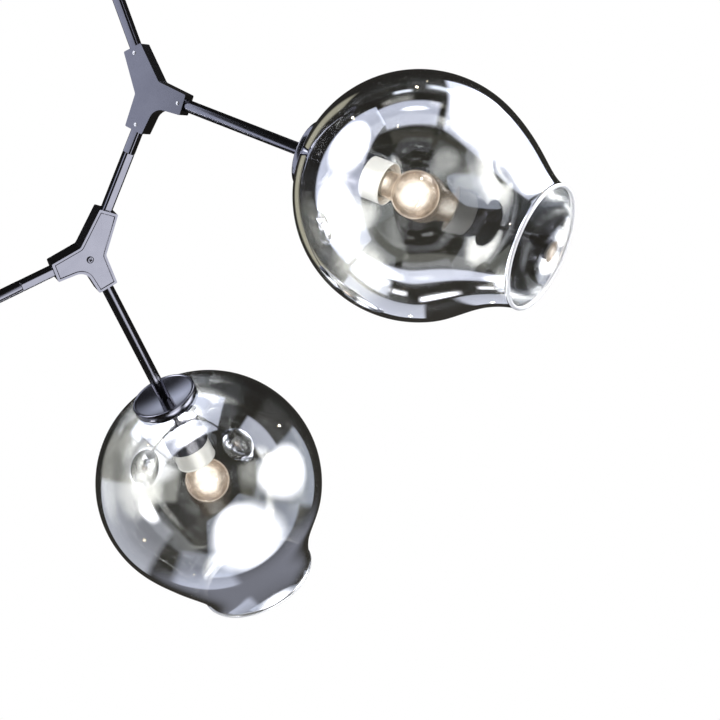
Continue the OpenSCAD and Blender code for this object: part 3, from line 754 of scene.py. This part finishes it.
def turned(degrees):
    """The photograph's right, up and back axes, turned clockwise in the picture."""
    c, s = math.cos(math.radians(degrees)), math.sin(math.radians(degrees))
    return CAM_R * c - CAM_U * s, CAM_R * s + CAM_U * c, CAM_B


def lamp(coll, size, size_y, place, x, y, z, shape="RECTANGLE"):
    global nodes_of, lamp_number
    lamp_number += 1
    light = bpy.data.lights.new(f"softbox_{lamp_number}", "AREA")
    light.shape = shape
    light.size, light.size_y = size, size_y
    light.energy = math.pi * size * size_y * (math.pi / 4 if shape == "ELLIPSE" else 1)
    o = bpy.data.objects.new(light.name, light)
    o.matrix_world = Matrix(((x.x, y.x, z.x, place.x), (x.y, y.y, z.y, place.y), (x.z, y.z, z.z, place.z), (0, 0, 0, 1)))
    scene.collection.objects.link(o)
    o.visible_camera = False
    o.light_linking.receiver_collection = coll
    light.use_nodes = True
    nodes_of = light.node_tree
    nodes_of.nodes.clear()
    return light


def lamp_out(colour):
    em = wn("ShaderNodeEmission", None, None, 1.0)
    if isinstance(colour, bpy.types.NodeSocket):
        nodes_of.links.new(colour, em.inputs["Color"])
    else:
        em.inputs["Color"].default_value = (*colour, 1)
    out = wn("ShaderNodeOutputLight")
    nodes_of.links.new(em.outputs[0], out.inputs[0])


def softbox(lit, main, side, a0, a1, b0, b1, soft, colour, hot=()):
    """A softbox square to the direction main, as seen from the pieces it lights: its extent along side and across it, in
    tangents, the tone of its cloth, and its hot spots (a, b, size a, size b, strength). lit is (pieces, their centre, axes)."""
    coll, centre, (R, U, B) = lit
    d = (R * main[0] + U * main[1] + B * main[2]).normalized()
    t1 = R * side[0] + U * side[1] + B * side[2]
    t1 = (t1 - d * t1.dot(d)).normalized()
    t2 = t1.cross(d)
    m = soft * 1.1
    lamp(coll, (a1 - a0 + 2 * m) * REACH, (b1 - b0 + 2 * m) * REACH,
         centre + (d + t1 * ((a0 + a1) / 2) + t2 * ((b0 + b1) / 2)) * REACH, t1, -t2, d)
    p = wn("ShaderNodeNewGeometry").outputs["Position"]
    p = wn("ShaderNodeVectorMath", {"operation": "SUBTRACT"}, p, tuple(centre)).outputs[0]
    x, y = wdot(p, t1 / REACH), wdot(p, t2 / REACH)
    mask = 1.0
    for v, lo, hi in ((x, a0, a1), (y, b0, b1)):
        mask = wmath("MULTIPLY", mask, wstep(v, lo - soft, lo + soft))
        mask = wmath("MULTIPLY", mask, wmath("SUBTRACT", 1.0, wstep(v, hi - soft, hi + soft)))
    total = 0.0
    for ca, cb, sa, sb, strength in hot:
        dx = wmath("DIVIDE", wmath("SUBTRACT", x, ca), sa)
        dy = wmath("DIVIDE", wmath("SUBTRACT", y, cb), sb)
        rho = wmath("SQRT", wmath("ADD", wmath("MULTIPLY", dx, dx), wmath("MULTIPLY", dy, dy)))
        fall = wmath("SUBTRACT", 1.0, wstep(rho, 0.45, 1.25))
        total = wmath("ADD", total, wmath("MULTIPLY", fall, strength))
    base = wn("ShaderNodeVectorMath", {"operation": "SCALE"}, tuple(colour))
    nodes_of.links.new(mask, base.inputs["Scale"])
    glow = wn("ShaderNodeVectorMath", {"operation": "SCALE"}, (1.0, 1.0, 1.02))
    nodes_of.links.new(wmath("MULTIPLY", mask, total), glow.inputs["Scale"])
    lamp_out(wn("ShaderNodeVectorMath", {"operation": "ADD"}, base.outputs[0], glow.outputs[0]).outputs[0])


def spark(lit, way, size, strength):
    """A small warm lamp far off in the room."""
    coll, centre, (R, U, B) = lit
    d = (R * way[0] + U * way[1] + B * way[2]).normalized()
    x = d.orthogonal().normalized()
    lamp(coll, size * REACH, size * REACH, centre + d * REACH, x, d.cross(x), d, "ELLIPSE")
    lamp_out((strength, strength * 0.82, strength * 0.62))


def group(name, test):
    coll = bpy.data.collections.new(name)
    for o in list(scene.objects):
        if o.type == "MESH" and test(o.name):
            coll.objects.link(o)
    return coll


def of_globe(i):
    inside = (f"blown_shade_{i}", f"flared_cap_{i}", f"bright_sleeve_{i}", f"clear_bulb_{i}", f"bulb_stem_{i}", f"clamp_disc_{i}",
              f"nipple_{i}", f"gasket_{i}", f"holder_core_{i}", f"bulb_cap_{i}", f"filament_supports_{i}")
    return lambda n: n in inside


# In the photograph every globe mirrors the same studio, turned with the globe, so each has its own softboxes
centre = {i: GLOBE[i].translation for i in GLOBE}
SET = {
    1: (group("globe_1_pieces", of_globe(1)), centre[1], turned(0)),
    2: (group("globe_2_pieces", of_globe(2)), centre[2], turned(48)),
    3: (group("globe_3_pieces", of_globe(3)), centre[3], turned(0)),
}
REST = (group("other_pieces", lambda n: not any(of_globe(i)(n) for i in (1, 2, 3))), Vector((-0.06, 0, -0.46)), turned(0))
CUPS = (group("cups", lambda n: n.startswith("dished_cup_")), centre[2], turned(0))
SLEEVES = (group("holder_sleeves", lambda n: n.startswith("bright_sleeve_")), Vector((-0.1, 0, -0.62)), turned(0))

LAV = (1.25, 1.32, 1.58)
OLIVE = (0.42, 0.40, 0.30)
RIGHT, LEFT, UP, DOWN, FRONT = (1, 0, 0), (-1, 0, 0), (0, 1, 0), (0, -1, 0), (0, 0, 1)
# side is each panel's a axis. Its b axis is side x main
for k in (1, 3):
    # left, tall: a = up, b = towards the camera
    softbox(SET[k], LEFT, UP, -0.95, 2.1, -0.30, 0.72, 0.04, LAV, [(0.82, 0.2, 0.52, 0.44, 9.0), (-0.30, 0.14, 0.50, 0.40, 9.0)])
    # upper right: a = towards the camera, b = up and inward
    softbox(SET[k], (0.765, 0.625, -0.15), FRONT, -0.80, 0.85, -0.14, 0.66, 0.04, LAV, [(0.0, 0.25, 0.7, 0.35, 8.0)])
    # right and in front, low: a = up, b = away from the camera
    softbox(SET[k], RIGHT, UP, -1.05, -0.42, -1.2, -0.42, 0.05, LAV, [(-0.65, -0.8, 0.42, 0.4, 2.5)])
    # right, towards the camera: a = up, b = away from the camera
    softbox(SET[k], RIGHT, UP, -0.30, 0.63, -2.35, 0.35, 0.05, (0.62, 0.68, 0.80), [(0.30, -0.35, 0.36, 0.95, 6.0)])
    # small bright reflectors above and below
    softbox(SET[k], (0.20, 0.90, -0.38), RIGHT, -0.11, 0.12, -0.05, 0.06, 0.05, (1.5, 1.6, 1.8))
    softbox(SET[k], (-0.12, 0.95, -0.28), RIGHT, -0.10, 0.06, -0.03, 0.04, 0.03, (1.7, 1.8, 2.0))
    softbox(SET[k], DOWN, RIGHT, 0.08, 0.40, 0.29, 0.41, 0.05, (4.5, 4.5, 4.7))
    softbox(SET[k], DOWN, RIGHT, -0.34, -0.12, 0.17, 0.27, 0.04, (3.2, 3.2, 3.3))
    # above: a = right, b = towards the camera
    softbox(SET[k], UP, RIGHT, -0.5, 0.24, -0.02, 0.5, 0.03, LAV, [(-0.05, 0.15, 0.16, 0.05, 3.0)])
    # below: a = right, b = away from the camera
    softbox(SET[k], DOWN, RIGHT, -1.05, 0.72, -0.30, -0.03, 0.025, (1.65, 1.72, 2.0), [(-0.5, -0.12, 0.3, 0.14, 4.0)])
    softbox(SET[k], DOWN, RIGHT, -0.98, -0.32, 0.0, 0.40, 0.04, (1.1, 1.15, 1.32), [(-0.60, 0.06, 0.26, 0.18, 3.5)])
    softbox(SET[k], DOWN, RIGHT, -0.9, 0.12, 0.52, 1.7, 0.03, (0.72, 0.75, 0.86))
    softbox(SET[k], DOWN, RIGHT, -0.25, 0.45, -0.66, -0.36, 0.04, (0.30, 0.30, 0.27))
    # a lit olive wall low on the left, in front
    softbox(SET[k], (-0.50, -0.62, 0.60), (0.789, -0.041, 0.615), -0.46, 0.27, -0.56, 0.42, 0.03, (0.27, 0.28, 0.25), [(-0.45, -0.25, 0.35, 0.5, 0.4)])
    # a lit wall far behind on the left
    softbox(SET[k], (-0.55, 0.0, -0.83), UP, -0.9, 0.8, -0.13, 0.10, 0.06, OLIVE)
# the second globe: its right-hand panels reach lower, and the one below is wider
softbox(SET[2], LEFT, UP, -0.30, 1.3, -0.30, 1.02, 0.05, LAV, [(0.30, 0.35, 0.45, 0.35, 4.0), (0.45, 0.85, 0.45, 0.25, 4.0)])
softbox(SET[2], LEFT, UP, -0.95, -0.30, 0.14, 1.02, 0.06, (0.9, 0.94, 1.0), [(-0.42, 0.62, 0.40, 0.36, 5.0)])
softbox(SET[2], (-0.62, -0.50, 0.60), FRONT, -0.5, 0.48, -0.22, 0.40, 0.07, (0.75, 0.76, 0.69), [(-0.05, -0.15, 0.45, 0.25, 2.2)])
softbox(SET[2], (-0.75, -0.55, -0.30), UP, -0.42, 0.30, -0.55, 0.66, 0.14, (0.33, 0.33, 0.295), [(0.05, 0.55, 0.4, 0.35, 0.5)])
softbox(SET[2], (0.765, 0.625, -0.15), FRONT, -0.78, 1.12, -0.10, 0.80, 0.05, (0.40, 0.44, 0.52), [(0.36, 0.36, 0.70, 0.40, 6.0)])
softbox(SET[2], RIGHT, UP, -0.88, 0.66, -1.80, 0.42, 0.06, (0.52, 0.57, 0.68), [(-0.12, -0.68, 0.62, 1.05, 6.0)])
softbox(SET[2], (0.72, -0.69, 0.0), FRONT, -0.9, 0.32, -0.35, 0.28, 0.07, (0.42, 0.45, 0.54))
softbox(SET[2], (0.70, -0.32, -0.64), UP, -0.70, 0.70, -0.42, 0.40, 0.26, (0.19, 0.20, 0.245))
softbox(SET[2], UP, RIGHT, -0.32, 0.24, 0.05, 0.5, 0.03, (1.1, 1.16, 1.35))
softbox(SET[2], DOWN, RIGHT, -0.9, 0.22, -0.62, 1.35, 0.06, (0.50, 0.52, 0.58), [(-0.33, -0.50, 0.24, 0.22, 6.0)])
# hubs and arms
softbox(REST, LEFT, UP, -0.95, 2.1, -0.27, 0.72, 0.04, LAV, [(0.75, 0.2, 0.42, 0.36, 5.0)])
softbox(REST, (0.765, 0.625, -0.15), FRONT, -0.60, 0.85, 0.13, 0.66, 0.04, LAV, [(0.0, 0.38, 0.7, 0.3, 4.0)])
softbox(REST, RIGHT, UP, -2.6, 0.95, -1.75, -0.42, 0.05, (1.25, 1.29, 1.44), [(-1.02, -0.74, 0.75, 0.6, 1.2)])
softbox(CUPS, UP, RIGHT, -0.5, 0.24, -0.08, 0.5, 0.03, LAV)
softbox(CUPS, (-0.46, 0.71, -0.535), RIGHT, -0.16, 0.16, -0.13, 0.13, 0.15, (1.9, 2.04, 2.4))
# the lit holders
softbox(SLEEVES, (-0.35, 0.3, 0.85), UP, -0.5, 0.5, -0.5, 0.5, 0.05, (7.5, 7.5, 7.4))
softbox(SLEEVES, (0.6, -0.2, 0.7), UP, -0.4, 0.4, -0.4, 0.4, 0.05, (4.5, 4.5, 4.4))
for way in ((-0.01, 0.93, -0.37), (-0.62, 0.75, -0.22), (0.02, 0.21, 0.97), (-0.03, -0.60, -0.80), (0.83, -0.55, 0.06), (0.27, -0.93, 0.24)):
    for k in (1, 3):
        spark(SET[k], way, 0.022, 60.0)
for way in ((0.05, 0.95, -0.30), (-0.45, -0.80, 0.40), (-0.28, -0.90, 0.33), (0.95, 0.28, 0.12)):
    spark(SET[2], way, 0.022, 60.0)

# pale floor, a disc that fades out
bm = bmesh.new()
rings = 24
under = Vector((-0.05, 0.05, -1.45))
prev = [bm.verts.new(under)]
for k in range(1, rings + 1):
    ring = [bm.verts.new(under + Vector((math.cos(2 * math.pi * j / 64), math.sin(2 * math.pi * j / 64), 0)) * (1.35 * k / rings)) for j in range(64)]
    for j in range(64):
        if len(prev) == 1:
            bm.faces.new((prev[0], ring[j], ring[(j + 1) % 64]))
        else:
            bm.faces.new((prev[j], ring[j], ring[(j + 1) % 64], prev[(j + 1) % 64]))
    prev = ring
t = Tree("studio_floor")
paper = t.noise(14, 6, 0.6)
floor_shader = t.node("ShaderNodeBsdfPrincipled", Roughness=0.6)
t.put(floor_shader, "Base Color", t.ramp(paper, (0.3, (0.74, 0.75, 0.78)), (0.7, (0.79, 0.80, 0.83))))
away = t.node("ShaderNodeVectorMath", {"operation": "DISTANCE"}, **{"0": t.coords(), "1": tuple(under)}).outputs["Value"]
fade = t.node("ShaderNodeMixShader", Fac=t.span(away, 0.85, 1.3, 0.0, 1.0, "SMOOTHSTEP"))
t.link(floor_shader.outputs[0], fade.inputs[1])
t.link(t.node("ShaderNodeBsdfTransparent").outputs[0], fade.inputs[2])
floor = new_object("studio_floor", bm, [t.done(fade.outputs[0])])
REST[0].objects.link(floor)
# the glass mirrors the studio's dark room and softboxes, as in the photograph, and not this floor
floor.visible_glossy = False
floor.visible_shadow = False
